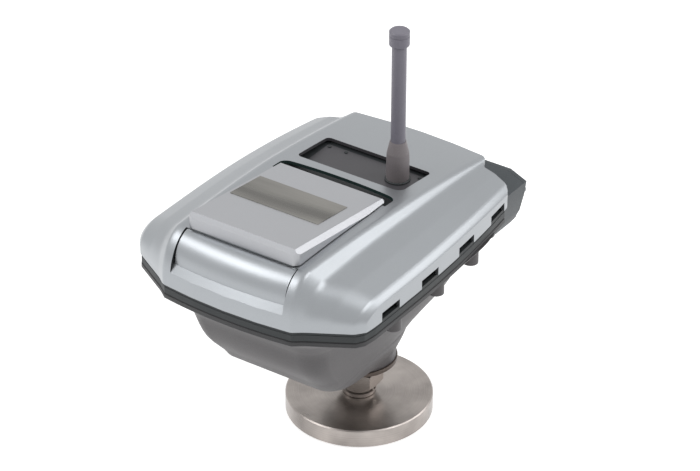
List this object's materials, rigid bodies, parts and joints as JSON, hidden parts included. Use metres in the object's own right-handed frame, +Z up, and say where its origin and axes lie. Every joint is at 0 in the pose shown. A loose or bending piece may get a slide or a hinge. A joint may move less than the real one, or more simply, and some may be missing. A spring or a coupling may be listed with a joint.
{
  "type": "radar level transmitter",
  "caption": "Tank radar level transmitter: plain round flange, turned neck, cast funnel housing with ribbed rim, silver cover with hinged display lid, rod antenna.",
  "frame": {"origin": "centre of the flange's underside, at the mouth of the microwave port", "axes": "+Z up along the neck, -Y towards the display nose, +X to the right seen from the nose"},
  "size_m": [0.27, 0.3754, 0.446],
  "materials": {
    "stainless": "turned and lightly brushed",
    "ptfe": "smooth white",
    "collar_bronze": "satin dark brown",
    "cast_dark": "satin dark grey over fine casting texture",
    "gasket": "matt",
    "inner_dark": "satin",
    "screw_steel": "zinc plated",
    "cover_silver": "metallic silver paint, satin",
    "deck_panel": "satin",
    "mast": "smooth satin",
    "lid_silver": "metallic silver paint, satin",
    "plate_metal": "brushed, bare",
    "glass": "clear",
    "lcd": "smooth",
    "module_can": "plain",
    "board": "solder mask",
    "brass": "plain",
    "terminal_plastic": "smooth"
  },
  "bodies": {
    "housing": {"flange_disc": "stainless", "process_seal": "ptfe", "waveguide": "stainless", "neck_tube": "stainless", "union_nut": "stainless", "neck_port_plug": "stainless", "collar_ring": "collar_bronze", "lower_housing": "cast_dark", "rim_gasket": "gasket", "inner_cover": "inner_dark", "cover_screws": "screw_steel", "outer_cover": "cover_silver", "front_fairing": "cover_silver", "deck_plate": "deck_panel", "deck_screws": "screw_steel", "antenna_seat": "inner_dark", "antenna_base": "mast", "antenna_rod": "mast", "antenna_cap": "mast", "hinge_brackets": "inner_dark", "hinge_pins": "screw_steel", "display_bezel": "inner_dark", "display_glass": "glass", "display_module": "lcd", "radar_module": "module_can", "card_frame": "module_can", "processor_board": "board", "power_board": "board", "radio_board": "board", "board_spacers": "brass", "terminal_gasket": "gasket", "terminal_cover": "cast_dark", "terminal_cover_screws": "screw_steel", "terminal_rail": "module_can", "terminal_blocks": "terminal_plastic", "compartment_feedthrough": "terminal_plastic", "entry_plugs": "screw_steel", "entry_adapter": "screw_steel", "earth_clamp": "brass"},
    "lid": {"display_lid": "lid_silver", "lid_nameplate": "plate_metal", "lid_bumpers": "gasket"}
  },
  "joints": [
    {"name": "lid_hinge", "type": "hinge", "parent": "housing", "child": "lid", "pos_m": [0, -0.056, 0.288], "axis": [-1, 0, 0], "range_deg": [0, 95]}
  ]
}
